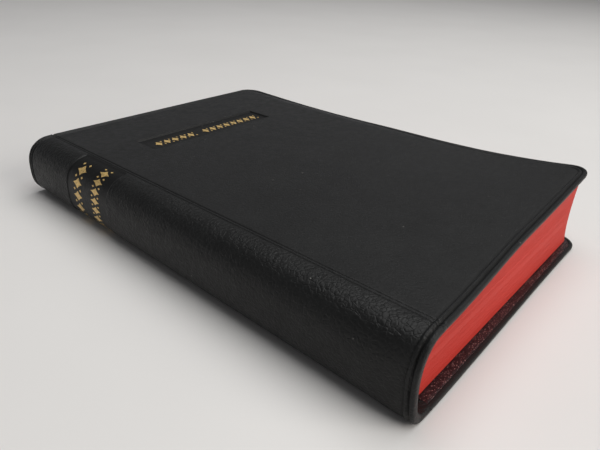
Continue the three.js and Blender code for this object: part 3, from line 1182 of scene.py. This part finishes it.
def ornament_motif(pitch, height):
    """A solid lozenge, with a small lozenge above and below the gap beside it."""
    speck = 0.01 * MM
    gap = pitch / 2
    parts = [foil_ring("leaf", lozenge(pitch * 0.80, height), lozenge(speck, speck))]
    for rise in (-0.34 * height, 0.34 * height):
        parts.append(foil_ring("grain", shifted(lozenge(pitch * 0.22, height * 0.22, 0), gap, rise),
                               shifted(lozenge(speck, speck, 0), gap, rise)))
    return joined("ornament_motif", parts)


def ornament_row(name, groups, pitch, height):
    """Groups of lozenges in a row, with a gap between the groups: plain work with no lettering."""
    total = pitch * (sum(groups) + len(groups) - 1)
    start = -total / 2
    runs = []
    for index, count in enumerate(groups):
        run = repeated(ornament_motif(pitch, height), count, (pitch, 0, 0), (0, 0, 0), index)
        centre = start + pitch * count / 2
        for v in run.data.vertices:
            v.co.x += centre
        runs.append(run)
        start += pitch * (count + 1)
    return joined(name, runs)


class BOOK_OT_gilt_work(bpy.types.Operator):
    """Block plain gilt ornament into the pressed panels on the front cover and the spine"""

    bl_idname = "book.gilt_work"
    bl_label = "Gilt work"

    def execute(self, context):
        lift = 0.02 * MM
        front = ornament_row("gilt_front", (5, 8), 4.2 * MM, 5.2 * MM)
        for v in front.data.vertices:
            x, y = v.co.x, v.co.y + sizes().panel_centre - 1.2 * MM
            v.co = curled(FRONT, x, y, face_z(FRONT, face_depth(FRONT, x, y)) + v.co.z + lift)
        finish_mesh(front)
        hand_over(front, "gilt_foil")
        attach(front, "front_cover")
        arc = even_angles(400)
        half_arc = arc[-1][1]
        for index, (centre, count, pitch) in enumerate(((54.5 * MM, 5, 6 * MM), (42 * MM, 8, 4.2 * MM))):
            row = ornament_row(f"gilt_spine_{index + 1}", (count,), pitch, 6 * MM)
            for v in row.data.vertices:
                along, y = v.co.x, v.co.y + centre
                place = (along + half_arc) / (2 * half_arc) * (len(arc) - 1)
                k = min(int(place), len(arc) - 2)
                angle = arc[k][0] + (arc[k + 1][0] - arc[k][0]) * (place - k)
                x, z = spine_place(angle, spine_face_depth(along, y, half_arc) - v.co.z - lift)
                v.co = (x, y, z)
            finish_mesh(row)
            hand_over(row, "gilt_foil")
            blend_middle(row)
        return {"FINISHED"}


# ---------------------------------------------------------------- stage


def area_light(name, place, target, size, power, colour=(1, 1, 1)):
    light = bpy.data.lights.new(name, "AREA")
    light.shape = "RECTANGLE"
    light.size, light.size_y = size
    light.energy = power
    light.color = colour
    obj = bpy.data.objects.new(name, light)
    obj.location = place
    obj.rotation_euler = (Vector(target) - Vector(place)).to_track_quat("-Z", "Y").to_euler()
    bpy.context.scene.collection.objects.link(obj)


CAMERA_PLACE = (-152.2 * MM, -132.5 * MM, 104.3 * MM)
CAMERA_ANGLES = (50.07, -27.3, 2.97)
CAMERA_LENS = 32.27
CAMERA_SHIFT = (-0.0061, -0.0136)
FLOOR_REACH = 1.8


def make_camera():
    """A camera close to the book, over the tail of the spine."""
    data = bpy.data.cameras.new("camera")
    camera = bpy.data.objects.new("camera", data)
    turn, tilt, roll = (math.radians(angle) for angle in CAMERA_ANGLES)
    ahead = Vector((math.sin(turn) * math.cos(tilt), math.cos(turn) * math.cos(tilt), math.sin(tilt)))
    right = ahead.cross(Vector((0, 0, 1))).normalized()
    up = right.cross(ahead)
    tilted_right = right * math.cos(roll) + up * math.sin(roll)
    tilted_up = up * math.cos(roll) - right * math.sin(roll)
    axes = Matrix((tilted_right, tilted_up, -ahead)).transposed()
    camera.matrix_world = Matrix.Translation(CAMERA_PLACE) @ axes.to_4x4()
    data.sensor_width = 36
    data.lens = CAMERA_LENS
    data.shift_x, data.shift_y = CAMERA_SHIFT
    data.clip_start = 0.005
    data.clip_end = 20
    bpy.context.scene.collection.objects.link(camera)
    bpy.context.scene.camera = camera


def floor_finish():
    finish = Finish("pale table", "object")
    finish.feed("Base Color", finish.ramp(
        finish.noise(12, 3), ((0.3, (0.70, 0.69, 0.675)), (0.7, (0.72, 0.71, 0.695)))))
    finish.feed("Normal", finish.bump(finish.noise(900, 2), 0.05, 0.05 * MM))
    finish.set("Roughness", 0.45)
    finish.set("Specular IOR Level", 0.3)
    return finish.material


def make_sky(tree):
    """A pale band along the horizon, dimmer above."""
    direction = add_node(tree, "ShaderNodeTexCoord").outputs["Generated"]
    height = add_node(tree, "ShaderNodeSeparateXYZ", (0, direction)).outputs["Z"]
    levels = ((0.0, 0.62), (0.08, 0.55), (0.24, 0.13), (1.0, 0.10))
    sky = add_ramp(tree, height, [(place, (level, level, level * 1.03, 1)) for place, level in levels])
    tree.links.new(sky, tree.nodes["Background"].inputs["Color"])


class BOOK_OT_stage(bpy.types.Operator):
    """Make the pale table, the soft light and the camera"""

    bl_idname = "book.stage"
    bl_label = "Stage"

    def execute(self, context):
        corners = [(x * FLOOR_REACH, y * FLOOR_REACH, 0) for x, y in ((-1, -1), (1, -1), (1, 1), (-1, 1))]
        floor = make_mesh_object("table", corners, [(0, 1, 2, 3)], floor_finish())
        world = bpy.data.worlds.new("soft_room")
        world.use_nodes = True
        make_sky(world.node_tree)
        context.scene.world = world
        area_light("ceiling", (0.2, -0.1, 1.1), (0, 0, 0), (1.3, 1.1), 12.0)
        area_light("window", (0.35, -1.3, 0.75), (0, -0.05, 0.01), (1.0, 0.7), 12.5, (1.0, 0.95, 0.90))
        make_camera()
        context.scene.view_settings.view_transform = "Standard"
        return {"FINISHED"}


class BOOK_PT_panel(bpy.types.Panel):
    """Buttons for the book's parts"""

    bl_idname = "BOOK_PT_panel"
    bl_label = "Book"
    bl_space_type = "VIEW_3D"
    bl_region_type = "UI"
    bl_category = "Book"

    def draw(self, context):
        for group in (context.scene.book_sizes, context.scene.book_colours):
            for key in group.__annotations__:
                self.layout.prop(group, key)
        for operator in OPERATORS:
            self.layout.operator(operator.bl_idname)


OPERATORS = (
    BOOK_OT_stage,
    BOOK_OT_cover_skins,
    BOOK_OT_cover_linings,
    BOOK_OT_endpapers,
    BOOK_OT_spine_skin,
    BOOK_OT_spine_lining,
    BOOK_OT_sewing,
    BOOK_OT_sections,
    BOOK_OT_centre_leaves,
    BOOK_OT_gilt_work,
)
CLASSES = (BookSizes, BookColours, *OPERATORS, BOOK_PT_panel)


def register():
    for cls in CLASSES:
        bpy.utils.register_class(cls)
    bpy.types.Scene.book_sizes = bpy.props.PointerProperty(type=BookSizes)
    bpy.types.Scene.book_colours = bpy.props.PointerProperty(type=BookColours)


def unregister():
    del bpy.types.Scene.book_colours
    del bpy.types.Scene.book_sizes
    for cls in reversed(CLASSES):
        bpy.utils.unregister_class(cls)


def main():
    register()
    for operator in OPERATORS:
        group, name = operator.bl_idname.split(".")
        getattr(getattr(bpy.ops, group), name)()


if __name__ == "__main__":
    main()
